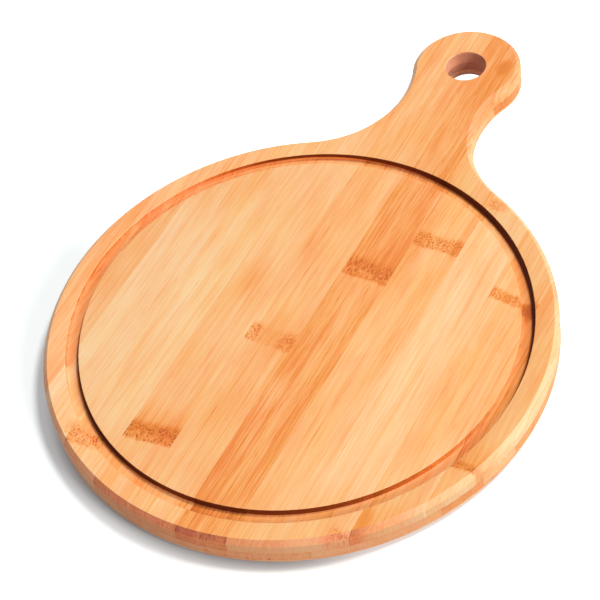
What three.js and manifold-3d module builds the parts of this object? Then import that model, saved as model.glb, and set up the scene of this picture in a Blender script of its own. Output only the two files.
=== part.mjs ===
// Round bamboo serving board with a paddle handle, a juice groove and a hanging hole.
// It is laminated from separate strips in three plies: long strips on top and underneath,
// and short strips across the board in the core. Each strip is its own solid.
// Origin: centre of the disc on the underside. +Y runs along the handle and +Z is up.
// All sizes are in millimetres.

import * as THREE from 'three';
import { mergeVertices } from 'three/addons/utils/BufferGeometryUtils.js';
import Module from 'manifold-3d';

// Outline of the board
const DISC_RADIUS = 110;
const HANDLE_LENGTH = 84.3; // from the edge of the disc to the end of the handle
const GRIP_RADIUS = 25.4; // round end of the handle
const NECK_RADIUS = 46.5; // hollow curve on each side, between the disc and the grip
const EDGE_BEVEL = 2.1; // edges of both faces, cut off at 45 degrees

// Plies, from the top down
const TOP_PLY = 6.7;
const CORE_PLY = 4;
const BOTTOM_PLY = 3.5;

// Strips of the top ply: partial ones at both rims, and full ones that share what lies between
const LEFT_RIM_STRIP = 6;
const RIGHT_RIM_STRIP = 19.6;
const FULL_FACE_STRIPS = 9;

// Strips of the core ply, laid out the same way from the front rim to the end of the handle
const FRONT_RIM_STRIP = 15;
const HANDLE_END_STRIP = 4.3;
const FULL_CORE_STRIPS = 15;

// Hanging hole
const HOLE_RADIUS = 9.3;
const HOLE_SETBACK = 0.8; // from the centre of the grip towards the disc

// Juice groove, a flat channel with rounded bottom corners
const RIM_WIDTH = 10.1; // from the edge of the disc to the groove
const GROOVE_WIDTH = 5.7;
const GROOVE_DEPTH = 3.4;
const GROOVE_CORNER = 0.8;

// Facets of the round stretches
const DISC_FACETS = 72;
const NECK_FACETS = 10;
const GRIP_FACETS = 28;
const HOLE_FACETS = 32;
const CORNER_FACETS = 2;

const CUT_OVERRUN = 2; // how far a cutting block reaches past what it cuts

// Colours of the bamboo, from pale to amber, in the order they lie across the top
const PALE = 0xf0bd84;
const HONEY = 0xebb074;
const WARM = 0xe6a766;
const AMBER = 0xdd9650;
const BROWN = 0xc68a55;
const TOP_TONES = [WARM, PALE, HONEY, HONEY, WARM, HONEY, AMBER, WARM, PALE, HONEY, WARM];
const CORE_TONES = [BROWN, WARM, BROWN];
const BOTTOM_TONES = [HONEY, PALE, WARM, HONEY];
const ROUGHNESS = 0.5;

const thickness = BOTTOM_PLY + CORE_PLY + TOP_PLY;
const gripCentre = DISC_RADIUS + HANDLE_LENGTH - GRIP_RADIUS;
const holeCentre = gripCentre - HOLE_SETBACK;
const handleEnd = DISC_RADIUS + HANDLE_LENGTH;

const wasm = await Module();
wasm.setup();

// A closed three.js geometry as a solid that can be cut
function solidOf(geometry) {
  const bare = geometry.clone();
  bare.deleteAttribute('normal');
  bare.deleteAttribute('uv');
  const merged = mergeVertices(bare, 1e-4);
  return new wasm.Manifold(
    new wasm.Mesh({
      numProp: 3,
      vertProperties: new Float32Array(merged.getAttribute('position').array),
      triVerts: new Uint32Array(merged.getIndex().array),
    }),
  );
}

// A cut solid as a three.js geometry again
function geometryOf(solid) {
  const mesh = solid.getMesh();
  const geometry = new THREE.BufferGeometry();
  geometry.setAttribute('position', new THREE.BufferAttribute(mesh.vertProperties, 3));
  geometry.setIndex(new THREE.BufferAttribute(mesh.triVerts, 1));
  geometry.computeVertexNormals();
  return geometry;
}

// Points along a round stretch of the outline
function arcPoints(x, y, radius, from, to, clockwise, facets) {
  return new THREE.EllipseCurve(x, y, radius, radius, from, to, clockwise).getPoints(facets);
}

// The outline seen from above: disc, hollow neck curves and round grip, each tangent to the next
function outline() {
  const discToNeck = DISC_RADIUS + NECK_RADIUS;
  const gripToNeck = GRIP_RADIUS + NECK_RADIUS;
  const neckY = (discToNeck ** 2 - gripToNeck ** 2 + gripCentre ** 2) / (2 * gripCentre);
  const neckX = Math.sqrt(discToNeck ** 2 - neckY ** 2);
  const discTurn = Math.atan2(neckY, neckX);
  const gripTurn = Math.atan2(gripCentre - neckY, neckX);
  const half = Math.PI;
  const points = [
    ...arcPoints(0, 0, DISC_RADIUS, discTurn, half - discTurn, true, DISC_FACETS),
    ...arcPoints(-neckX, neckY, NECK_RADIUS, -discTurn, gripTurn, false, NECK_FACETS),
    ...arcPoints(0, gripCentre, GRIP_RADIUS, half + gripTurn, -gripTurn, true, GRIP_FACETS),
    ...arcPoints(neckX, neckY, NECK_RADIUS, half - gripTurn, half + discTurn, false, NECK_FACETS),
  ];
  const tooClose = 1e-3;
  return points.filter((point, i) => point.distanceTo(points.at(i - 1)) > tooClose);
}

// The whole board with its bevelled edges, before it is cut and parted into strips
function boardBlank() {
  const geometry = new THREE.ExtrudeGeometry(new THREE.Shape(outline()), {
    depth: thickness - 2 * EDGE_BEVEL,
    bevelThickness: EDGE_BEVEL,
    bevelSize: EDGE_BEVEL,
    bevelOffset: -EDGE_BEVEL,
    bevelSegments: 1,
  });
  geometry.translate(0, 0, EDGE_BEVEL);
  return solidOf(geometry);
}

// The round plug that is drilled out of the handle
function holeCutter() {
  const length = thickness + 2 * CUT_OVERRUN;
  const plug = new THREE.CylinderGeometry(HOLE_RADIUS, HOLE_RADIUS, length, HOLE_FACETS);
  plug.rotateX(Math.PI / 2);
  plug.translate(0, holeCentre, thickness / 2);
  return solidOf(plug);
}

// The ring that is routed out of the top face
function grooveCutter() {
  const outer = DISC_RADIUS - RIM_WIDTH;
  const inner = outer - GROOVE_WIDTH;
  const floor = thickness - GROOVE_DEPTH;
  const above = thickness + CUT_OVERRUN;
  const quarter = Math.PI / 2;
  const corner = (x, from) =>
    arcPoints(x, floor + GROOVE_CORNER, GROOVE_CORNER, from, from + quarter, false, CORNER_FACETS);
  const profile = [
    new THREE.Vector2(inner, above),
    ...corner(inner + GROOVE_CORNER, 2 * quarter),
    ...corner(outer - GROOVE_CORNER, 3 * quarter),
    new THREE.Vector2(outer, above),
    new THREE.Vector2(inner, above),
  ];
  const ring = new THREE.LatheGeometry(profile, DISC_FACETS);
  ring.rotateX(quarter);
  return solidOf(ring);
}

// A cutting block whose faces lie exactly on two opposite corners
function block(low, high) {
  const geometry = new THREE.BoxGeometry(1, 1, 1);
  const position = geometry.getAttribute('position');
  const pick = (side, from, to) => (side < 0 ? from : to);
  for (let i = 0; i < position.count; i += 1) {
    position.setXYZ(
      i,
      pick(position.getX(i), low.x, high.x),
      pick(position.getY(i), low.y, high.y),
      pick(position.getZ(i), low.z, high.z),
    );
  }
  return solidOf(geometry);
}

// Where the joints of a ply lie: at both limits, and between them one full strip apart
function evenJoints(from, to, fullStrips) {
  const joints = [];
  for (let i = 0; i <= fullStrips; i += 1) {
    joints.push(from + ((to - from) * i) / fullStrips);
  }
  return joints;
}

// One ply parted at its joints. A strip that a narrow neck or the hole cuts right through
// comes out as two pieces, and each is a mesh of its own.
function addPly(group, board, ply) {
  const reach = handleEnd + CUT_OVERRUN;
  const cuts = [-reach, ...ply.joints, reach];
  for (let i = 0; i + 1 < cuts.length; i += 1) {
    const low = new THREE.Vector3(-reach, -reach, ply.bottom);
    const high = new THREE.Vector3(reach, reach, ply.top);
    low[ply.across] = cuts[i];
    high[ply.across] = cuts[i + 1];
    const pieces = board.intersect(block(low, high)).decompose();
    pieces.forEach((piece, part) => {
      const material = new THREE.MeshStandardMaterial({
        color: ply.tones[i % ply.tones.length],
        roughness: ROUGHNESS,
        metalness: 0,
      });
      const mesh = new THREE.Mesh(geometryOf(piece), material);
      const number = String(i + 1).padStart(2, '0');
      mesh.name = `${ply.name}_strip_${number}${part > 0 ? `_part_${part + 1}` : ''}`;
      group.add(mesh);
    });
  }
}

const board = boardBlank().subtract(grooveCutter()).subtract(holeCutter());
const coreBottom = BOTTOM_PLY;
const coreTop = BOTTOM_PLY + CORE_PLY;
const leftJoint = -DISC_RADIUS + LEFT_RIM_STRIP;
const rightJoint = DISC_RADIUS - RIGHT_RIM_STRIP;
const faceStripWidth = (rightJoint - leftJoint) / FULL_FACE_STRIPS;
const topJoints = evenJoints(leftJoint, rightJoint, FULL_FACE_STRIPS);
const bottomJoints = topJoints.map((joint) => joint + faceStripWidth / 2);
const frontJoint = -DISC_RADIUS + FRONT_RIM_STRIP;
const endJoint = handleEnd - HANDLE_END_STRIP;
const coreJoints = evenJoints(frontJoint, endJoint, FULL_CORE_STRIPS);
const servingBoard = new THREE.Group();
servingBoard.name = 'serving_board';

// Bottom ply: long strips, with their joints half a strip away from those of the top ply
addPly(servingBoard, board, {
  name: 'bottom',
  across: 'x',
  joints: bottomJoints,
  bottom: 0,
  top: coreBottom,
  tones: BOTTOM_TONES,
});

// Core ply: strips across the board
addPly(servingBoard, board, {
  name: 'core',
  across: 'y',
  joints: coreJoints,
  bottom: coreBottom,
  top: coreTop,
  tones: CORE_TONES,
});

// Top ply: long strips that carry the groove
addPly(servingBoard, board, {
  name: 'top',
  across: 'x',
  joints: topJoints,
  bottom: coreTop,
  top: thickness,
  tones: TOP_TONES,
});

export default servingBoard;
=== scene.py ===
"""Looks of the round bamboo serving board: the strips of its three plies, the floor, light and camera."""

import math

import bmesh
import bpy
from mathutils import Matrix, Vector


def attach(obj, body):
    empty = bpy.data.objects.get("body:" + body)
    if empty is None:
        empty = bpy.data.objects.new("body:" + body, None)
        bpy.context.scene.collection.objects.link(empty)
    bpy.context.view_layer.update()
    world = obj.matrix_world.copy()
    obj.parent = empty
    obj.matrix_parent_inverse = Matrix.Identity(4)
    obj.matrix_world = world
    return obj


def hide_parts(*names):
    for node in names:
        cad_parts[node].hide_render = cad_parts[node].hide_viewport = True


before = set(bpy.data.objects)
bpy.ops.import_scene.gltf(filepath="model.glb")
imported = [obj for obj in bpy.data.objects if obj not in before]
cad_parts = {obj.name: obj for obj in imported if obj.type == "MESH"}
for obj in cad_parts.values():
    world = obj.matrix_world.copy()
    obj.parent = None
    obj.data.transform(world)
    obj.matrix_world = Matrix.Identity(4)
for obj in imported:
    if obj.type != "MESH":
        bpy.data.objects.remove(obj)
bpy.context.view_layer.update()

MM = 0.001  # lengths below are in millimetres, and Blender's in metres

# Sizes of the solids
DISC_RADIUS = 110.0
HANDLE_LENGTH = 84.3  # from the edge of the disc to the end of the handle
GRIP_RADIUS = 25.4  # round end of the handle
NECK_RADIUS = 46.5  # hollow curve on each side, between the disc and the grip
EDGE_BEVEL = 2.1  # edges of both faces, cut off at 45 degrees
TOP_PLY = 6.7
CORE_PLY = 4.0
BOTTOM_PLY = 3.5
LEFT_RIM_STRIP = 6.0
RIGHT_RIM_STRIP = 19.6
FULL_FACE_STRIPS = 9
FRONT_RIM_STRIP = 15.0
HANDLE_END_STRIP = 4.3
FULL_CORE_STRIPS = 15
HOLE_RADIUS = 9.3
HOLE_SETBACK = 0.8  # from the centre of the grip towards the disc
RIM_WIDTH = 10.1  # from the edge of the disc to the groove
GROOVE_WIDTH = 5.7
GROOVE_DEPTH = 3.4
GROOVE_CORNER = 0.8  # rounding of the groove's bottom corners

# Finer detail of the looks
GROOVE_ARRIS = 0.25  # rounding of the groove's upper edges
HOLE_BEVEL = 0.4  # bevel of both edges of the hanging hole
BEVEL_CORNER = 1.2  # rounding between a bevel and the wall below it
INSIDE = 0.01  # the outline stays this far inside the solids' box
DISC_STEPS = 300
NECK_STEPS = 24
GRIP_STEPS = 84
HOLE_STEPS = 96
GROOVE_STEPS = 360
ROUND_STEPS = 6
ON_PLANE = 1e-5  # a point this close to a cutting plane lies on it
FLAT = 0.9999  # a face is flat where its normal comes this close to an axis
SHARP_ANGLE = 40  # degrees between two faces that meet in a sharp edge

thickness = TOP_PLY + CORE_PLY + BOTTOM_PLY
core_bottom = BOTTOM_PLY
core_top = BOTTOM_PLY + CORE_PLY
handle_end = DISC_RADIUS + HANDLE_LENGTH
grip_y = handle_end - GRIP_RADIUS
hole_y = grip_y - HOLE_SETBACK
groove_outer = DISC_RADIUS - RIM_WIDTH
groove_inner = groove_outer - GROOVE_WIDTH
groove_floor = thickness - GROOVE_DEPTH


# Shapes

def arc(x, y, radius, start, end, steps):
    """Points of an arc, without its last one."""
    turns = [start + (end - start) * i / steps for i in range(steps)]
    return [(x + radius * math.cos(t), y + radius * math.sin(t)) for t in turns]


def outline(inset):
    """The outline seen from above, counter-clockwise: disc, right neck, grip and left neck."""
    disc_to_neck = DISC_RADIUS + NECK_RADIUS
    grip_to_neck = GRIP_RADIUS + NECK_RADIUS
    neck_y = (disc_to_neck**2 - grip_to_neck**2 + grip_y**2) / (2 * grip_y)
    neck_x = math.sqrt(disc_to_neck**2 - neck_y**2)
    disc_turn = math.atan2(neck_y, neck_x)
    grip_turn = math.atan2(grip_y - neck_y, neck_x)
    half = math.pi
    inset = inset + INSIDE
    disc = arc(0, 0, DISC_RADIUS - inset, half - disc_turn, 2 * half + disc_turn, DISC_STEPS)
    right = arc(neck_x, neck_y, NECK_RADIUS + inset, half + disc_turn, half - grip_turn, NECK_STEPS)
    grip = arc(0, grip_y, GRIP_RADIUS - inset, -grip_turn, half + grip_turn, GRIP_STEPS)
    left = arc(-neck_x, neck_y, NECK_RADIUS + inset, grip_turn, -disc_turn, NECK_STEPS)
    return disc + right + grip + left


def bevelled_edge(bevel):
    """(inset, height) pairs up a wall of the board, with both edges cut off at 45 degrees."""
    eighth = math.pi / 4
    turns = [eighth * (1 - i / ROUND_STEPS) for i in range(ROUND_STEPS + 1)]
    level = bevel + BEVEL_CORNER * math.tan(eighth / 2)
    low = [(bevel, 0.0)]
    low += [(BEVEL_CORNER * (1 - math.cos(t)), level - BEVEL_CORNER * math.sin(t)) for t in turns]
    high = [(inset, thickness - height) for inset, height in reversed(low)]
    return low + high


def groove_profile():
    """(radius, height) pairs across the groove, from its inner edge to its outer edge."""
    quarter = math.pi / 2
    turns = [quarter * i / ROUND_STEPS for i in range(ROUND_STEPS + 1)]
    lip = [(GROOVE_ARRIS * (1 - math.sin(t)), GROOVE_ARRIS * (1 - math.cos(t))) for t in turns]
    corner = [(GROOVE_CORNER * (1 - math.cos(t)), GROOVE_CORNER * (1 - math.sin(t))) for t in turns]
    half = [(-out, thickness - down) for out, down in lip]
    half += [(into, groove_floor + up) for into, up in corner]
    inner = [(groove_inner + offset, z) for offset, z in half]
    outer = [(groove_outer - offset, z) for offset, z in reversed(half)]
    return inner + outer


def ring(mesh, points, z):
    """Vertices at one height above the points of a loop."""
    return [mesh.verts.new((x, y, z)) for x, y in points]


def skirt(mesh, rings):
    """Faces between each ring of vertices and the next."""
    for low, high in zip(rings, rings[1:]):
        for i in range(len(low)):
            j = (i + 1) % len(low)
            mesh.faces.new((low[i], low[j], high[j], high[i]))


def loop_edges(mesh, verts):
    """The edges around a ring of vertices."""
    return [mesh.edges.get((verts[i - 1], verts[i])) for i in range(len(verts))]


def fill(mesh, edges):
    """Triangles over the flat area that loops of edges enclose."""
    bmesh.ops.triangle_fill(mesh, use_beauty=True, use_dissolve=False, edges=edges)


def board_blank():
    """The whole board as one closed mesh, before it is parted into plies and strips."""
    mesh = bmesh.new()
    wall = [ring(mesh, outline(inset), z) for inset, z in bevelled_edge(EDGE_BEVEL)]
    hole = [
        ring(mesh, arc(0, hole_y, HOLE_RADIUS + inset, 0, 2 * math.pi, HOLE_STEPS), z)
        for inset, z in bevelled_edge(HOLE_BEVEL)
    ]
    groove = [
        ring(mesh, arc(0, 0, radius, 0, 2 * math.pi, GROOVE_STEPS), z)
        for radius, z in groove_profile()
    ]
    for rings in (wall, hole, groove):
        skirt(mesh, rings)
    fill(mesh, loop_edges(mesh, wall[0]) + loop_edges(mesh, hole[0]))
    fill(mesh, loop_edges(mesh, wall[-1]) + loop_edges(mesh, hole[-1]) + loop_edges(mesh, groove[-1]))
    mesh.faces.new(groove[0])
    bmesh.ops.recalc_face_normals(mesh, faces=mesh.faces[:])
    return mesh


def slice_between(source, axis, low, high):
    """The part of a closed mesh between two planes across an axis, closed again."""
    mesh = source.copy()
    for place, side in ((low, -1), (high, 1)):
        if place is None:
            continue
        point = Vector((0, 0, 0))
        normal = Vector((0, 0, 0))
        point[axis] = place
        normal[axis] = side
        cut = bmesh.ops.bisect_plane(
            mesh,
            geom=mesh.verts[:] + mesh.edges[:] + mesh.faces[:],
            dist=ON_PLANE,
            plane_co=point,
            plane_no=normal,
            clear_outer=True,
        )
        fill(mesh, [part for part in cut["geom_cut"] if isinstance(part, bmesh.types.BMEdge)])
    bmesh.ops.recalc_face_normals(mesh, faces=mesh.faces[:])
    return mesh


def finished(mesh, name):
    """A bmesh in millimetres as a Blender object in metres, smooth only where it is round."""
    for face in mesh.faces:
        face.smooth = max(abs(part) for part in face.normal) < FLAT
    bmesh.ops.scale(mesh, vec=(MM, MM, MM), verts=mesh.verts[:])
    data = bpy.data.meshes.new(name)
    mesh.to_mesh(data)
    mesh.free()
    data.set_sharp_from_angle(angle=math.radians(SHARP_ANGLE))
    piece = bpy.data.objects.new(name, data)
    bpy.context.scene.collection.objects.link(piece)
    return piece


# Shader nodes

def linear(red, green, blue):
    """An sRGB colour from 0 to 255 as the linear colour that shaders take."""
    def one(value):
        value /= 255
        return value / 12.92 if value <= 0.04045 else ((value + 0.055) / 1.055) ** 2.4

    return (one(red), one(green), one(blue), 1.0)


class Shader:
    """The nodes of a material or a world, with one short call for each kind that is needed."""

    def __init__(self, owner):
        owner.use_nodes = True
        self.tree = owner.node_tree
        self.tree.nodes.clear()

    def node(self, kind, **settings):
        made = self.tree.nodes.new(kind)
        for key, value in settings.items():
            setattr(made, key, value)
        return made

    def feed(self, socket, value):
        if isinstance(value, bpy.types.NodeSocket):
            self.tree.links.new(value, socket)
        else:
            socket.default_value = value

    def math(self, operation, *values):
        made = self.node("ShaderNodeMath", operation=operation)
        for socket, value in zip(made.inputs, values):
            self.feed(socket, value)
        return made.outputs[0]

    def add(self, *values):
        total = values[0]
        for value in values[1:]:
            total = self.math("ADD", total, value)
        return total

    def times(self, *values):
        product = values[0]
        for value in values[1:]:
            product = self.math("MULTIPLY", product, value)
        return product

    def blend(self, share, gain, base):
        """The base, with the share's part of a gain added."""
        return self.math("MULTIPLY_ADD", share, gain, base)

    def toward(self, value, goal, share):
        """The value moved towards a goal by a share of the way."""
        return self.blend(self.math("SUBTRACT", goal, value), share, value)

    def around(self, value, amount):
        """A 0 to 1 value as a swing of that amount about nothing."""
        return self.blend(value, amount, -amount / 2)

    def distance(self, a, b):
        return self.math("SQRT", self.add(self.times(a, a), self.times(b, b)))

    def gap(self, value, goal):
        """How far a value is from a goal, on either side."""
        return self.math("ABSOLUTE", self.add(value, -goal))

    def step(self, value, low, high):
        """0 up to low, 1 from high on, smooth between. With low above high it falls instead."""
        made = self.node("ShaderNodeMapRange", interpolation_type="SMOOTHSTEP")
        rising = low < high
        self.feed(made.inputs["Value"], value)
        made.inputs["From Min"].default_value = low if rising else high
        made.inputs["From Max"].default_value = high if rising else low
        made.inputs["To Min"].default_value = 0.0 if rising else 1.0
        made.inputs["To Max"].default_value = 1.0 if rising else 0.0
        return made.outputs["Result"]

    def toward_side(self, x, y, side):
        """How far a vector in plan reaches towards a side, which is a unit vector."""
        return self.add(self.times(x, side[0]), self.times(y, side[1]))

    def scaled(self, vector, scale, shift):
        made = self.node("ShaderNodeMapping", vector_type="POINT")
        self.feed(made.inputs["Vector"], vector)
        made.inputs["Location"].default_value = shift
        made.inputs["Scale"].default_value = scale
        return made.outputs["Vector"]

    def place(self):
        """Where a point lies on the object, in millimetres."""
        made = self.node("ShaderNodeTexCoord")
        return self.scaled(made.outputs["Object"], (1 / MM, 1 / MM, 1 / MM), (0, 0, 0))

    def parts(self, vector):
        """A vector's three parts."""
        made = self.node("ShaderNodeSeparateXYZ")
        self.feed(made.inputs[0], vector)
        return made.outputs

    def noise(self, vector, detail, roughness):
        made = self.node("ShaderNodeTexNoise", noise_dimensions="3D")
        self.feed(made.inputs["Vector"], vector)
        made.inputs["Scale"].default_value = 1.0
        made.inputs["Detail"].default_value = detail
        made.inputs["Roughness"].default_value = roughness
        return made.outputs[0]

    def cells(self, vector):
        """How far the nearest of a scatter of points is."""
        made = self.node("ShaderNodeTexVoronoi", voronoi_dimensions="3D", feature="F1")
        self.feed(made.inputs["Vector"], vector)
        made.inputs["Scale"].default_value = 1.0
        return made.outputs["Distance"]

    def ramp(self, value, stops):
        made = self.node("ShaderNodeValToRGB")
        self.feed(made.inputs[0], value)
        points = made.color_ramp.elements
        while len(points) < len(stops):
            points.new(0.5)
        for point, (place, colour) in zip(points, stops):
            point.position = place
            point.color = linear(*colour)
        return made.outputs["Color"]

    def seen_directly(self):
        """1 for what the camera, a reflection or a see-through surface shows, else 0."""
        path = self.node("ShaderNodeLightPath").outputs
        seen = self.math("MAXIMUM", path["Is Camera Ray"], path["Is Glossy Ray"])
        return self.math("MAXIMUM", seen, path["Is Transmission Ray"])


# Bamboo

# From the palest to scorched brown: depth, and the colour at that depth
BAMBOO = (
    (0.00, (254, 220, 172)),
    (0.15, (253, 206, 152)),
    (0.30, (252, 190, 128)),
    (0.45, (250, 171, 102)),
    (0.60, (241, 143, 66)),
    (0.75, (203, 107, 40)),
    (0.88, (136, 61, 18)),
    (1.00, (54, 17, 4)),
)

# Layers of fibre: how wide and how long a streak is, a salt that sets the layer apart, and its detail
FINE = {"across": 0.42, "length": 20, "salt": 1}
MIDDLE = {"across": 1.8, "length": 70, "salt": 2}
BROAD = {"across": 6.5, "length": 130, "salt": 3, "detail": 1.0}
CLOUDS = {"across": 12, "length": 34, "salt": 4, "detail": 1.5}
DASHES = {"across": 0.5, "length": 9, "salt": 5, "detail": 1.0}
LINES = {"across": 0.6, "length": 75, "salt": 6, "detail": 1.0}
COARSE_WOBBLE = {"across": 3.0, "length": 9, "salt": 7}
SMALL_WOBBLE = {"across": 0.8, "length": 4, "salt": 8}
PORE_PATCHES = {"across": 3, "length": 4, "salt": 10, "detail": 1.0}
WARMTH = {"across": 9, "length": 30, "salt": 11, "detail": 1.0}
FIBRE_DETAIL = 2.0
FIBRE_ROUGHNESS = 0.55
LAYER_STRETCH = 5.0  # the layers reach this much further down than across
SEED_SHIFT = (7.31, 3.17, 5.77)  # how far apart the noises of two strips lie
SALT_SHIFT = (3.7, 11.3, 2.9)  # and those of two layers

# How much each layer shows. In each range, here and below, a feature is absent at the first value and full
# at the second.
FINE_SWING = 0.42
MIDDLE_SWING = 0.29
BROAD_SWING = 0.24
CLOUD_SWING = 0.28
DASH_RANGE = (0.60, 0.74)
DASH_DEPTH = 0.10
LINE_RANGE = (0.60, 0.70)
LINE_DEPTH = 0.12
FINE_RELIEF = 0.6
DASH_RELIEF = -0.4
LINE_RELIEF = -0.3
PORE_RELIEF = -0.5
STAIN_SQUEEZE = 0.6  # makes a stain longer along the board than across

# Knuckles
CLEAR_DEPTH = 0.64  # the deepest that fibres and stains get on a strip with a knuckle
CLEAR_BLEND = 0.2
KNUCKLE_WOBBLE = 2.6
PATCH_RANGE = (0.22, 0.50)
SCAR_TOP = (1.5, 0.5)  # a scar's edge towards the handle, in halves of its width
SCAR_FOOT = (-0.9, 0.7)  # its edge towards the front, in mm about that edge
SCAR_LINE = (1.3, 0.2)  # a dark line along the edge towards the front, in mm from that edge
PALE_START = 0.4  # a pale middle ends between this share of its reach and all of it
PALE_REST = 0.55  # the share of the scar that is left in a pale middle
FADE_START = (-3, 2)  # in mm from the middle of the scar
FADE_STREAKS = 0.9  # the part of a fade that follows the fibres
FADE_EVEN = 0.55  # and the part that doesn't
PORE_WIDTH = 0.9
PORE_LENGTH = 1.35
PORE_SALT = 9
SMALL_PORE_WIDTH = 0.5
SMALL_PORE_SHARE = 0.7  # of the length of the others
SMALL_PORE_SALT = 12
SMALL_PORE_LAG = 0.10  # added to the distance to a small pore, which keeps it small
PORE_GROWTH = -0.4  # added to the distance to any pore in a scar, which widens it
PORE_RANGE = (0.20, -0.15)

# Cut faces, by the upright or sideways part of the surface's normal
UPRIGHT_RANGE = (0.75, 0.3)
EASED_RANGE = (0.97, 0.80)  # takes in the bevels as well as the walls
LEAST_SIDEWAYS = 0.01
END_RANGE = (0.30, 0.95)
SIDE_RANGE = (0.55, 0.97)
END_DEPTH = 0.12
SIDE_DEPTH = -0.20
BUNDLE_SCALE = (1.1, 1.1, 1.3)
BUNDLE_RANGE = (0.5, 0.15)
BUNDLE_DEPTH = 0.08
END_FIGURE = -0.5  # end grain shows half of the streaks
BEVEL_DEPTH = 0.10
# painted shade: bevels that face the front, away from the lamps, are darker
SHADED_BEVEL_RANGE = (-0.1, -0.6)
SHADED_BEVEL_DEPTH = 0.09
FOOT_RANGE = (2.6, 1.0)  # heights, in mm
FOOT_DEPTH = 0.10

# Glue lines, in mm from the joint
JOINT_RANGE = (0.3, 0.05)
JOINT_DEPTH = 0.05
PLY_RANGE = (0.5, 0.1)
PLY_DEPTH = 0.12

# Painted shade in the groove: it is darkened, most on the walls that face away from the lamps
GROOVE_RANGE = (-0.4, 0.1)  # in mm into the groove from either edge
CUT_RANGE = (0.02, 0.24)  # in mm below the top
HALF_BLEND = 0.2  # in mm on either side of the groove's middle
# Painted shade of the recess: the whole groove is darker, more where it runs along the fibres and high on
# the outer wall
GROOVE_SHADE_DEPTH = 0.12
GROOVE_SIDE_SHADE_DEPTH = 0.17  # added where the groove runs along the fibres
HIGH_RANGE = (0.9, 2.2)  # in mm above the groove's floor
HIGH_WALL_SHADE_DEPTH = 0.10  # added in the upper part of the outer wall
# Each wall: its radius, which way it faces along the radius, which way it faces where its painted shade is
# deepest, how squarely it does so where the painted shade starts and is full, how dark the painted shade
# makes it, and how far the painted shadow reaches over the floor
INNER_WALL = {
    "radius": groove_inner,
    "faces": 1,
    "shade_facing": (-0.259, -0.966),
    "range": (-0.45, 0.80),
    "depth": 0.98,
    "reach": 1.4,
}
OUTER_WALL = {
    "radius": groove_outer,
    "faces": -1,
    "shade_facing": (-0.574, -0.819),
    "range": (-0.15, 0.48),
    "depth": 0.96,
    "reach": 1.7,
}
LOW_SHADE_RANGE = (0.55, 0.95)  # how squarely the outer wall faces where its painted shade comes down to the floor
LOW_SHADE_RISE = 1.5  # how high the painted shade starts elsewhere
LOW_SHADE_BLEND = 0.5
SHADOW_FACING = (-0.848, -0.530)  # which way a wall faces where the floor at its foot gets a painted shadow as well
SHADOW_FACING_RANGE = (0.50, 0.97)
PAINTED_SHADOW_START = (0.1, 0.5)  # in mm that the painted shadow reaches
PAINTED_SHADOW_EDGE = (0.7, -1.0)  # in mm past that reach

# Painted shade in the hanging hole
BORE_RANGE = (1.2, 0.6)  # in mm from its wall
HOLE_SHADE_DEPTH = 0.75
HOLE_SHADE_SHARE = 0.75

# Hue, saturation and surface
NEUTRAL_HUE = 0.5
WARMTH_SWING = 0.018
# painted shade: walls that face the front, away from the lamps, get a pinker hue
SHADED_FRONT_RANGE = (-0.2, -0.9)
SHADED_FRONT_HUE = -0.012
PORE_HUE = -0.004
WALL_SATURATION = -0.02
BEVEL_SATURATION = -0.07
# part of the painted shade in the hanging hole: its wall is less saturated
BORE_SATURATION = -0.20
FOOT_SATURATION = -0.12
BUMP_STRENGTH = 0.25
BUMP_HEIGHT = 0.06
ROUGHNESS = 0.54
FINE_ROUGHNESS = 0.12
DASH_ROUGHNESS = 0.06
SPECULAR = 0.2


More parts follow.
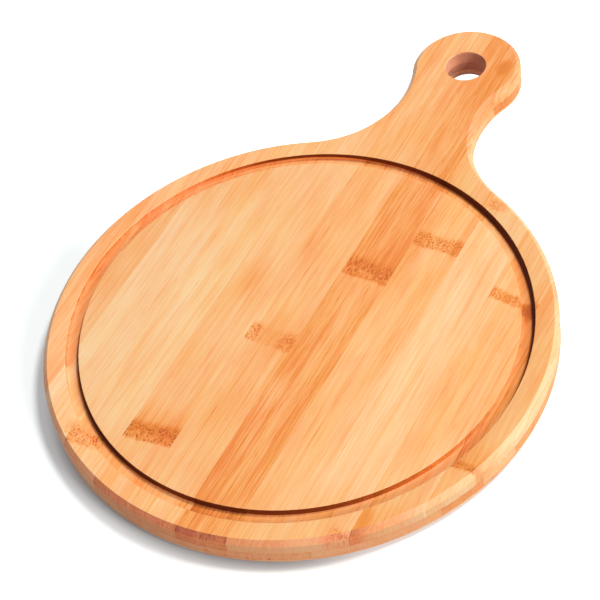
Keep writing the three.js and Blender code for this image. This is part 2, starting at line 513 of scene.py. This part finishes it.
class Bamboo(Shader):
    """The bamboo of one strip.

    The look is one depth from pale to scorched, which every feature adds to, and one colour ramp.
    """

    def __init__(self, material, strip):
        super().__init__(material)
        self.strip = strip
        self.along = strip["along"]  # the axis that the fibres follow
        self.spot = self.place()
        self.x, self.y, self.z = self.parts(self.spot)
        facing = self.parts(self.node("ShaderNodeNewGeometry").outputs["Normal"])
        self.face_x, self.face_y, face_z = facing
        upward = self.math("ABSOLUTE", face_z)
        self.upright = self.step(upward, *UPRIGHT_RANGE)
        self.eased = self.step(upward, *EASED_RANGE)
        self.bevel = self.math("SUBTRACT", self.eased, self.upright)
        sideways = self.math("MAXIMUM", self.distance(self.face_x, self.face_y), LEAST_SIDEWAYS)
        endways = self.math("DIVIDE", self.math("ABSOLUTE", facing[self.along]), sideways)
        crossways = self.math("DIVIDE", self.math("ABSOLUTE", facing[1 - self.along]), sideways)
        self.cut_ends = self.times(self.step(endways, *END_RANGE), self.eased)
        self.cut_sides = self.times(self.step(crossways, *SIDE_RANGE), self.eased)
        self.outside = self.eased  # the walls and bevels, without those of the groove
        self.freckles = 0.0  # the pores of all knuckles

    def deepen(self, amount, *masks):
        """Adds an amount to the depth where all the masks are 1."""
        self.depth = self.add(self.depth, self.times(*masks, amount))

    def stretched(self, across, length, salt):
        """The strip's own coordinates for a noise, drawn out along the fibres."""
        scale = [1 / across, 1 / across, 1 / (across * LAYER_STRETCH)]
        scale[self.along] = 1 / length
        seed = self.strip["seed"]
        shift = [seed * a + salt * b for a, b in zip(SEED_SHIFT, SALT_SHIFT)]
        return self.scaled(self.spot, scale, shift)

    def fibres(self, layer):
        vector = self.stretched(layer["across"], layer["length"], layer["salt"])
        return self.noise(vector, layer.get("detail", FIBRE_DETAIL), FIBRE_ROUGHNESS)

    def add_grain(self):
        """Fibres along the strip, and the stretches over which it gets deeper."""
        grain = self.strip.get("grain", 1.0)
        self.fine = self.fibres(FINE)
        self.middle = self.fibres(MIDDLE)
        self.dashes = self.step(self.fibres(DASHES), *DASH_RANGE)
        lines = self.step(self.fibres(LINES), *LINE_RANGE)
        self.figure = self.add(
            self.around(self.fine, FINE_SWING * grain),
            self.around(self.middle, MIDDLE_SWING * grain),
            self.around(self.fibres(BROAD), BROAD_SWING),
            self.around(self.fibres(CLOUDS), CLOUD_SWING),
            self.times(self.dashes, DASH_DEPTH * grain),
            self.times(lines, LINE_DEPTH * grain),
        )
        self.depth = self.add(self.figure, self.strip["depth"])
        for start, end, amount in self.strip.get("leans", ()):
            self.deepen(amount, self.step(self.y, start, end))
        self.relief = self.add(
            self.times(self.fine, FINE_RELIEF),
            self.times(self.dashes, DASH_RELIEF),
            self.times(lines, LINE_RELIEF),
        )

    def add_stains(self):
        """Soft patches that are deeper or paler."""
        for stain_x, stain_y, reach, amount in self.strip.get("stains", ()):
            run = self.times(self.add(self.y, -stain_y), STAIN_SQUEEZE)
            gap = self.distance(self.add(self.x, -stain_x), run)
            self.deepen(amount, self.step(gap, reach, 0))

    def scar(self, knuckle, ahead):
        """Where the scar of a knuckle lies, from how far ahead of its middle a point is."""
        half = knuckle["half"]
        top = self.step(ahead, *(half * edge for edge in SCAR_TOP))
        foot = self.step(ahead, *(edge - half for edge in SCAR_FOOT))
        scar = self.times(top, foot)
        if "span" in knuckle:
            full, none = knuckle["span"]
            scar = self.times(scar, self.step(self.x, none, full))
        if "pale_middle" in knuckle:
            middle_x, reach = knuckle["pale_middle"]
            open_part = self.step(self.gap(self.x, middle_x), reach * PALE_START, reach)
            scar = self.times(scar, self.blend(open_part, 1 - PALE_REST, PALE_REST))
        return scar

    def add_knuckle(self, knuckle, ahead, patches):
        """A scar of dark pores across the strip, and the stain that fades away from it."""
        scar = self.scar(knuckle, ahead)
        self.deepen(knuckle["stain"], scar)
        if "fade" in knuckle:
            run = self.times(ahead, math.copysign(1, knuckle["fade"]))
            fall = self.times(self.step(run, abs(knuckle["fade"]), 0), self.step(run, *FADE_START))
            streaks = self.blend(self.middle, FADE_STREAKS, FADE_EVEN)
            self.deepen(knuckle["fade_depth"], fall, streaks)
        if "edge" in knuckle:
            line = self.step(self.gap(ahead, -knuckle["half"]), *SCAR_LINE)
            self.deepen(knuckle["edge"], line)
        self.depth = self.math("SMOOTH_MIN", self.depth, CLEAR_DEPTH, CLEAR_BLEND)
        length = knuckle.get("pore_length", PORE_LENGTH)
        large = self.cells(self.stretched(PORE_WIDTH, length, PORE_SALT))
        small = self.cells(self.stretched(SMALL_PORE_WIDTH, length * SMALL_PORE_SHARE, SMALL_PORE_SALT))
        spread = self.math("MINIMUM", large, self.add(small, SMALL_PORE_LAG))
        pores = self.step(self.blend(scar, PORE_GROWTH, spread), *PORE_RANGE)
        speckle = self.times(scar, pores, patches)
        self.depth = self.toward(self.depth, knuckle["dots"], speckle)
        self.relief = self.add(self.relief, self.times(speckle, PORE_RELIEF))
        self.freckles = self.add(self.freckles, speckle)

    def add_knuckles(self):
        """All knuckles of the strip, with ragged edges."""
        wobble = self.add(
            self.around(self.fibres(COARSE_WOBBLE), KNUCKLE_WOBBLE),
            self.around(self.fibres(SMALL_WOBBLE), KNUCKLE_WOBBLE),
        )
        patches = self.step(self.fibres(PORE_PATCHES), *PATCH_RANGE)
        for knuckle in self.strip.get("knuckles", ()):
            slant = self.times(self.x, -knuckle.get("slant", 0.0))
            ahead = self.add(self.y, wobble, -knuckle["y"], slant)
            self.add_knuckle(knuckle, ahead, patches)

    def add_cut_faces(self):
        """End grain with its bundles, the sides of the strip, and the bevels, with painted shade on those
        that face the front.
        """
        seed = self.strip["seed"]
        scatter = self.cells(self.scaled(self.spot, BUNDLE_SCALE, (seed, seed, seed)))
        bundles = self.step(scatter, *BUNDLE_RANGE)
        self.deepen(self.blend(bundles, BUNDLE_DEPTH, self.strip.get("end", END_DEPTH)), self.cut_ends)
        self.deepen(self.strip.get("side", SIDE_DEPTH), self.cut_sides)
        self.deepen(END_FIGURE, self.figure, self.cut_ends)
        # painted shade on the bevels that face the front
        front = self.step(self.face_y, *SHADED_BEVEL_RANGE)
        self.deepen(self.blend(front, SHADED_BEVEL_DEPTH, BEVEL_DEPTH), self.bevel)

    def add_glue_lines(self):
        """Hairline joints to the neighbours, and the glue line between the plies."""
        across = (self.x, self.y)[1 - self.along]
        for joint in self.strip["joints"]:
            self.deepen(JOINT_DEPTH, self.step(self.gap(across, joint), *JOINT_RANGE))
        for level in self.strip["levels"]:
            self.deepen(PLY_DEPTH, self.step(self.gap(self.z, level), *PLY_RANGE))

    def add_groove(self):
        """The routed groove, with painted shade that darkens it, most on the walls that face away from the
        lamps.
        """
        radius = self.distance(self.x, self.y)
        cut = self.times(
            self.step(radius, *(groove_inner + into for into in GROOVE_RANGE)),
            self.step(radius, *(groove_outer - into for into in GROOVE_RANGE)),
            self.step(self.z, *(thickness - down for down in CUT_RANGE)),
        )
        self.outside = self.times(self.eased, self.math("SUBTRACT", 1.0, cut))
        middle_radius = (groove_inner + groove_outer) / 2
        outer_half = self.step(radius, middle_radius - HALF_BLEND, middle_radius + HALF_BLEND)
        inner_half = self.math("SUBTRACT", 1.0, outer_half)
        # painted shade of the recess over the whole groove
        self.deepen(self.blend(self.cut_sides, GROOVE_SIDE_SHADE_DEPTH, GROOVE_SHADE_DEPTH), cut)
        high_up = self.step(self.z, *(groove_floor + up for up in HIGH_RANGE))
        self.deepen(HIGH_WALL_SHADE_DEPTH, cut, outer_half, high_up)
        self.paint_wall_shade(INNER_WALL, radius, self.times(cut, inner_half))
        self.paint_wall_shade(OUTER_WALL, radius, self.times(cut, outer_half))

    def paint_wall_shade(self, wall, radius, within):
        """Painted shade on one wall of the groove, and painted shadow on the floor at its foot."""
        shade_facing = self.toward_side(self.face_x, self.face_y, wall["shade_facing"])
        painted_shade = self.times(within, self.upright, self.step(shade_facing, *wall["range"]))
        if wall is OUTER_WALL:
            low = self.step(shade_facing, *LOW_SHADE_RANGE)
            lowest = self.blend(low, -LOW_SHADE_RISE, groove_floor + LOW_SHADE_RISE)
            above = self.math("SUBTRACT", self.z, lowest)
            painted_shade = self.times(painted_shade, self.step(above, -LOW_SHADE_BLEND, LOW_SHADE_BLEND))
        # painted shade: the wall is darkened where it faces away from the lamps
        self.depth = self.toward(self.depth, wall["depth"], painted_shade)
        turned = self.math("DIVIDE", self.toward_side(self.x, self.y, SHADOW_FACING), radius)
        squarely = self.step(self.times(turned, wall["faces"]), *SHADOW_FACING_RANGE)
        reach = self.times(squarely, wall["reach"])
        past = self.math("SUBTRACT", self.gap(radius, wall["radius"]), reach)
        # painted shadow of the wall on the groove's floor
        painted_shadow = self.times(within, self.step(past, *PAINTED_SHADOW_EDGE), self.step(reach, *PAINTED_SHADOW_START))
        self.depth = self.toward(self.depth, wall["depth"], painted_shadow)

    def add_hole_shade(self):
        """Painted shade on the wall of the hanging hole, which darkens it."""
        from_centre = self.distance(self.x, self.add(self.y, -hole_y))
        near = self.step(from_centre, *(HOLE_RADIUS + out for out in BORE_RANGE))
        self.bore = self.times(near, self.upright)
        painted_shade = self.times(self.bore, HOLE_SHADE_SHARE)
        # painted shade: the hole's wall is darkened, less in the bottom ply
        self.depth = self.toward(self.depth, self.strip.get("bore", HOLE_SHADE_DEPTH), painted_shade)

    def add_foot(self):
        """The foot of the wall, which is darker."""
        self.foot = self.times(self.eased, self.step(self.z, *FOOT_RANGE))
        self.deepen(FOOT_DEPTH, self.foot)

    def add_surface(self):
        """The colour at each depth, its hue and saturation, the bump and the sheen."""
        # painted shade tint on the outer walls that face the front, without the hole
        front = self.math("SUBTRACT", self.outside, self.bore)
        front = self.times(front, self.step(self.face_y, *SHADED_FRONT_RANGE))
        hue = self.add(
            self.around(self.fibres(WARMTH), WARMTH_SWING),
            self.times(front, SHADED_FRONT_HUE),
            self.times(self.freckles, PORE_HUE),
            NEUTRAL_HUE + self.strip.get("hue", 0.0),
        )
        saturation = self.add(
            self.times(self.outside, WALL_SATURATION),
            self.times(self.bevel, BEVEL_SATURATION),
            self.times(self.bore, BORE_SATURATION),
            self.times(self.foot, FOOT_SATURATION),
            1.0,
        )
        tint = self.node("ShaderNodeHueSaturation")
        self.feed(tint.inputs["Hue"], hue)
        self.feed(tint.inputs["Saturation"], saturation)
        self.feed(tint.inputs["Color"], self.ramp(self.depth, BAMBOO))
        bump = self.node("ShaderNodeBump")
        bump.inputs["Strength"].default_value = BUMP_STRENGTH
        bump.inputs["Distance"].default_value = BUMP_HEIGHT * MM
        self.feed(bump.inputs["Height"], self.relief)
        roughness = self.add(
            self.around(self.fine, FINE_ROUGHNESS),
            self.times(self.dashes, DASH_ROUGHNESS),
            ROUGHNESS,
        )
        surface = self.node("ShaderNodeBsdfPrincipled")
        self.feed(surface.inputs["Base Color"], tint.outputs["Color"])
        self.feed(surface.inputs["Roughness"], roughness)
        self.feed(surface.inputs["Normal"], bump.outputs["Normal"])
        surface.inputs["Specular IOR Level"].default_value = SPECULAR
        out = self.node("ShaderNodeOutputMaterial")
        self.feed(out.inputs["Surface"], surface.outputs[0])


def bamboo(name, strip):
    """The finished material of one strip."""
    material = bpy.data.materials.new(name)
    wood = Bamboo(material, strip)
    wood.add_grain()
    wood.add_stains()
    wood.add_knuckles()
    wood.add_cut_faces()
    wood.add_glue_lines()
    if strip["groove"]:
        wood.add_groove()
    wood.add_hole_shade()
    wood.add_foot()
    wood.add_surface()
    return material


# Strips

def even_joints(start, end, full_strips):
    """Where the joints of a ply lie: at both limits, and between them one full strip apart."""
    return [start + (end - start) * i / full_strips for i in range(full_strips + 1)]


left_joint = -DISC_RADIUS + LEFT_RIM_STRIP
right_joint = DISC_RADIUS - RIGHT_RIM_STRIP
front_joint = -DISC_RADIUS + FRONT_RIM_STRIP
end_joint = handle_end - HANDLE_END_STRIP
half_strip = (right_joint - left_joint) / FULL_FACE_STRIPS / 2
top_joints = even_joints(left_joint, right_joint, FULL_FACE_STRIPS)
core_joints = even_joints(front_joint, end_joint, FULL_CORE_STRIPS)
bottom_joints = [joint + half_strip for joint in top_joints]

# How each strip looks, with places in mm on the board:
# depth, hue and grain are its tone, a shift of its hue and the strength of its fibres,
# end and side are what its end grain and its sides add to the depth, bore is the depth of the painted
# shade in the hole, leans are stretches along Y over which it gets deeper: from, to and how much,
# stains are soft patches: X, Y, reach and how much.
# A knuckle has a Y, half of its width, the depth of its dots and what its stain adds. It may have a fade,
# whose reach is positive towards the handle and negative towards the front, a slant, a span in X from full
# to nothing, a pale middle with its X and reach, a dark edge, and pores of another length.
# Strips 8 to 10 have low end values: painted light on their cut ends at the lit right-hand front
TOP_LOOKS = (
    {"depth": 0.37, "hue": -0.003},
    {"depth": 0.32, "hue": -0.003},
    {
        "depth": 0.17,
        "hue": -0.002,
        "end": 0.04,
        "leans": ((10, 80, 0.14),),
        "knuckles": ({"y": -83, "half": 4.0, "dots": 0.50, "stain": 0.16, "span": (-62, -68)},),
    },
    {
        "depth": 0.20,
        "hue": 0.002,
        "end": 0.04,
        "leans": ((0, 90, 0.11), (-50, -95, 0.08)),
        "knuckles": ({"y": -85.5, "half": 4.6, "dots": 0.66, "stain": 0.09, "span": (-50, -40)},),
    },
    {
        "depth": 0.31,
        "leans": ((105, 145, 0.13),),
        "knuckles": (
            {
                "y": -70.1,
                "half": 4.6,
                "dots": 0.78,
                "stain": 0.21,
                "fade": 20,
                "fade_depth": 0.22,
                "slant": 0.12,
            },
        ),
        "stains": ((-31, 13, 11, 0.10),),
    },
    {
        "depth": 0.34,
        "knuckles": ({"y": -10.5, "half": 4.8, "dots": 0.69, "stain": 0.12, "pale_middle": (-7, 7)},),
    },
    {
        "depth": 0.43,
        "end": 0.07,
        "side": -0.06,
        "grain": 1.4,
        "leans": ((-25, -60, 0.04), (90, 140, 0.04)),
        "knuckles": (
            {
                "y": 38,
                "half": 5.2,
                "dots": 0.74,
                "stain": 0.12,
                "fade": 80,
                "fade_depth": 0.16,
                "edge": 0.14,
                "pore_length": 2.8,
            },
        ),
        "stains": ((17.5, 173, 4.6, 0.33), (6, -35, 10, -0.14)),
    },
    {
        "depth": 0.33,
        "hue": 0.002,
        # low end value: painted light on the cut ends
        "end": 0.0,
        "leans": ((-10, 50, 0.05),),
        "knuckles": ({"y": 62.5, "half": 4.2, "dots": 0.70, "stain": 0.10},),
        "stains": ((45, 62, 5, 0.16),),
    },
    {
        "depth": 0.22,
        "hue": 0.001,
        # low end value: painted light on the cut ends
        "end": -0.06,
        "leans": ((-60, -95, 0.09),),
        "knuckles": (
            {"y": 92, "half": 3.0, "dots": 0.60, "stain": 0.10, "span": (52, 60)},
            {"y": -88, "half": 4.5, "dots": 0.56, "stain": 0.10, "span": (63, 58)},
        ),
    },
    {
        "depth": 0.33,
        "hue": 0.002,
        # low end value: painted light on the cut ends
        "end": -0.04,
        "leans": ((-55, -90, 0.18),),
        "knuckles": (
            {"y": 52.9, "half": 2.7, "dots": 0.92, "stain": 0.19, "slant": -0.1},
            {"y": -87, "half": 4.5, "dots": 0.64, "stain": 0.12, "span": (72, 78)},
        ),
        "stains": ((70.5, -76, 5, 0.22), (87, 43, 5, 0.30)),
    },
    {
        "depth": 0.38,
        "hue": 0.002,
        "knuckles": (
            {"y": -39.5, "half": 1.8, "dots": 0.74, "stain": 0.18, "fade": 18, "fade_depth": 0.14},
        ),
    },
)

# Tones of the core strips from the front rim to the end of the handle
CORE_DEPTHS = (
    0.44, 0.36, 0.38, 0.52, 0.30, 0.50, 0.48, 0.36, 0.42,
    0.40, 0.34, 0.34, 0.32, 0.32, 0.58, 0.40, 0.34,
)
CORE_LOOKS = [{"depth": depth, "end": -0.03, "side": -0.05, "bore": 0.84} for depth in CORE_DEPTHS]

# The bottom strips take four tones in turn, and some have a knuckle, listed by the number of the strip
BOTTOM_TONES = (0.31, 0.22, 0.36, 0.28)
BOTTOM_LOOKS = [
    {"depth": BOTTOM_TONES[i % len(BOTTOM_TONES)], "end": -0.02, "side": 0.04, "bore": 0.58}
    for i in range(len(bottom_joints) + 1)
]
BOTTOM_KNUCKLE = {"dots": 0.76, "stain": 0.12, "fade_depth": 0.14}
BOTTOM_KNUCKLES = {
    2: {"y": -30, "half": 4.0, "fade": 9},
    4: {"y": 48, "half": 3.8, "fade": -14},
    6: {"y": -66, "half": 4.4, "fade": 16},
    7: {"y": 118, "half": 3.2, "fade": -10},
    8: {"y": 7, "half": 3.6, "fade": -12},
    10: {"y": 31, "half": 4.2, "fade": 11},
}
for number, knuckle in BOTTOM_KNUCKLES.items():
    BOTTOM_LOOKS[number - 1]["knuckles"] = (BOTTOM_KNUCKLE | knuckle,)

# The plies: the axis across their strips, the joints, and the heights where other plies lie against them
X_AXIS = 0
Y_AXIS = 1
Z_AXIS = 2
PLIES = (
    {
        "name": "top",
        "axis": X_AXIS,
        "joints": top_joints,
        "low": core_top,
        "high": None,
        "looks": TOP_LOOKS,
    },
    {
        "name": "core",
        "axis": Y_AXIS,
        "joints": core_joints,
        "low": core_bottom,
        "high": core_top,
        "looks": CORE_LOOKS,
    },
    {
        "name": "bottom",
        "axis": X_AXIS,
        "joints": bottom_joints,
        "low": None,
        "high": core_bottom,
        "looks": BOTTOM_LOOKS,
    },
)
SEEDS_PER_PLY = 20

blank = board_blank()
for ply_number, ply in enumerate(PLIES):
    slab = slice_between(blank, Z_AXIS, ply["low"], ply["high"])
    cuts = [None, *ply["joints"], None]
    for number, (low, high, look) in enumerate(zip(cuts, cuts[1:], ply["looks"]), 1):
        node = f"{ply['name']}_strip_{number:02d}"
        piece = finished(slice_between(slab, ply["axis"], low, high), f"{node}_bamboo")
        strip = dict(look)
        strip["seed"] = number + SEEDS_PER_PLY * ply_number
        strip["along"] = Y_AXIS if ply["axis"] == X_AXIS else X_AXIS
        strip["joints"] = [joint for joint in (low, high) if joint is not None]
        strip["levels"] = [level for level in (ply["low"], ply["high"]) if level is not None]
        strip["groove"] = ply["name"] == "top"
        piece.data.materials.append(bamboo(f"{node}_bamboo", strip))
        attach(piece, "root")
        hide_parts(node)
    slab.free()
blank.free()


# Floor

FLOOR_SIZE = 6000
FLOOR_GAP = 0.5  # below the board, so that no two faces share a plane
FLOOR_WHITE = 0.58  # what the floor throws back onto the board
FLOOR_SEEN_WHITE = 0.95  # the floor's white in the picture
FLOOR_TINT = (0.94, 1.0, 1.0)
FLOOR_LIFT = 0.24  # brings the lit floor up to white in the picture
HANDLE_PAINTED_LIGHT = 0.6  # painted light: more of it behind the board and around the handle, which whitens the board's shadow there
HANDLE_PAINTED_LIGHT_RANGE = (5, 60)  # along Y
HOLE_PAINTED_LIGHT = 0.25  # and still more painted light under the hanging hole, where the floor is in shade
HOLE_PAINTED_LIGHT_RANGE = (GRIP_RADIUS - 2, GRIP_RADIUS - 6)  # from the hole's centre
CONTACT_SHADOW_REACH = 5.0  # how far the painted contact shadow along the board's foot spreads
CONTACT_SHADOW_DARK = 0.6
CONTACT_SHADOW_POWER = 2
CONTACT_SHADOW_SIDE = (-0.105, -0.995)  # the middle of the stretch of the rim where that painted shadow shows
CONTACT_SHADOW_RANGE = (0.62, 0.90)  # how squarely the rim faces that way where the painted shadow starts and is full


def floor_material():
    """A floor that throws some light back, is lifted to white where it is seen, and has a painted contact
    shadow and painted light near the handle.
    """
    material = bpy.data.materials.new("floor")
    ground = Shader(material)
    seen = ground.seen_directly()
    x, y, _ = ground.parts(ground.place())

    # painted contact shadow: the floor is darkened by its occlusion, only along the front of the board
    contact = ground.node("ShaderNodeAmbientOcclusion")
    contact.inputs["Distance"].default_value = CONTACT_SHADOW_REACH * MM
    closed = ground.math("SUBTRACT", 1.0, ground.math("POWER", contact.outputs["AO"], CONTACT_SHADOW_POWER))
    turned = ground.math("DIVIDE", ground.toward_side(x, y, CONTACT_SHADOW_SIDE), ground.distance(x, y))
    shaded = ground.times(ground.step(turned, *CONTACT_SHADOW_RANGE), -CONTACT_SHADOW_DARK)
    open_floor = ground.blend(closed, shaded, 1.0)

    white = ground.toward(FLOOR_WHITE, ground.times(open_floor, FLOOR_SEEN_WHITE), seen)
    tinted = ground.node("ShaderNodeVectorMath", operation="SCALE")
    tinted.inputs[0].default_value = FLOOR_TINT
    ground.feed(tinted.inputs["Scale"], white)
    diffuse = ground.node("ShaderNodeBsdfDiffuse")
    ground.feed(diffuse.inputs["Color"], tinted.outputs[0])

    # painted light on the floor near the handle and under the hole, where the board's shadow falls
    from_hole = ground.distance(x, ground.add(y, -hole_y))
    lifting = ground.add(
        ground.times(ground.step(from_hole, *HOLE_PAINTED_LIGHT_RANGE), HOLE_PAINTED_LIGHT),
        ground.times(ground.step(y, *HANDLE_PAINTED_LIGHT_RANGE), HANDLE_PAINTED_LIGHT),
        FLOOR_LIFT,
    )
    lift = ground.node("ShaderNodeEmission")
    ground.feed(lift.inputs["Strength"], ground.times(seen, lifting, open_floor))

    both = ground.node("ShaderNodeAddShader")
    ground.feed(both.inputs[0], diffuse.outputs[0])
    ground.feed(both.inputs[1], lift.outputs[0])
    ground.feed(ground.node("ShaderNodeOutputMaterial").inputs["Surface"], both.outputs[0])
    return material


reach = FLOOR_SIZE / 2 * MM
corners = [(-reach, -reach, 0), (reach, -reach, 0), (reach, reach, 0), (-reach, reach, 0)]
floor_mesh = bpy.data.meshes.new("floor")
floor_mesh.from_pydata(corners, [], [(0, 1, 2, 3)])
floor_mesh.materials.append(floor_material())
floor = bpy.data.objects.new("floor", floor_mesh)
floor.location.z = -FLOOR_GAP * MM
bpy.context.scene.collection.objects.link(floor)


# Light

SKY_LIGHT = 0.22  # the sky's strength as a light, where it shows with a strength of 1
SKY_COLOUR = (0.90, 0.98, 1.12, 1)
LAMP_COLOUR = (1.03, 1.0, 0.96)

world = bpy.data.worlds.new("studio")
bpy.context.scene.world = world
studio = Shader(world)
sky = studio.node("ShaderNodeBackground")
sky.inputs["Color"].default_value = SKY_COLOUR
studio.feed(sky.inputs["Strength"], studio.math("MAXIMUM", studio.seen_directly(), SKY_LIGHT))
studio.feed(studio.node("ShaderNodeOutputWorld").inputs["Surface"], sky.outputs[0])


def sun(name, plan_angle, elevation, level, softness):
    """A soft far light, with its angles in degrees.

    The level is what it adds to a surface that faces it, where 1 shows a colour as written.
    """
    lamp = bpy.data.lights.new(name, "SUN")
    lamp.energy = level * math.pi
    lamp.color = LAMP_COLOUR
    lamp.angle = math.radians(softness)
    holder = bpy.data.objects.new(name, lamp)
    round_z = math.radians(plan_angle)
    rise = math.radians(elevation)
    flat = math.cos(rise)
    source = Vector((math.cos(round_z) * flat, math.sin(round_z) * flat, math.sin(rise)))
    holder.rotation_euler = source.to_track_quat("Z", "Y").to_euler()
    holder.location = source
    bpy.context.scene.collection.objects.link(holder)


sun("key", plan_angle=50, elevation=60, level=0.62, softness=14)
sun("side", plan_angle=-10, elevation=28, level=0.52, softness=20)


# Camera

CAMERA_TARGET = (-4.99, 11.91, thickness)
CAMERA_TURN = 37.70  # degrees, to the right from straight in front of the board
CAMERA_ELEVATION = 48.80
CAMERA_DISTANCE = 786.2
CAMERA_ROLL = -12.36
CAMERA_LENS = 110.60
SENSOR_WIDTH = 36

turn = math.radians(CAMERA_TURN)
tilt = math.radians(CAMERA_ELEVATION)
roll = math.radians(CAMERA_ROLL)
back = Vector((math.sin(turn) * math.cos(tilt), -math.cos(turn) * math.cos(tilt), math.sin(tilt)))
right = Vector((0, 0, 1)).cross(back).normalized()
up = back.cross(right)
tilted_right = math.cos(roll) * right + math.sin(roll) * up
tilted_up = -math.sin(roll) * right + math.cos(roll) * up
pose = Matrix((tilted_right, tilted_up, back)).transposed().to_4x4()
pose.translation = (Vector(CAMERA_TARGET) + back * CAMERA_DISTANCE) * MM
camera_data = bpy.data.cameras.new("camera")
camera_data.sensor_width = SENSOR_WIDTH
camera_data.lens = CAMERA_LENS
camera = bpy.data.objects.new("camera", camera_data)
camera.matrix_world = pose
bpy.context.scene.collection.objects.link(camera)
bpy.context.scene.camera = camera
bpy.context.scene.view_settings.view_transform = "Standard"
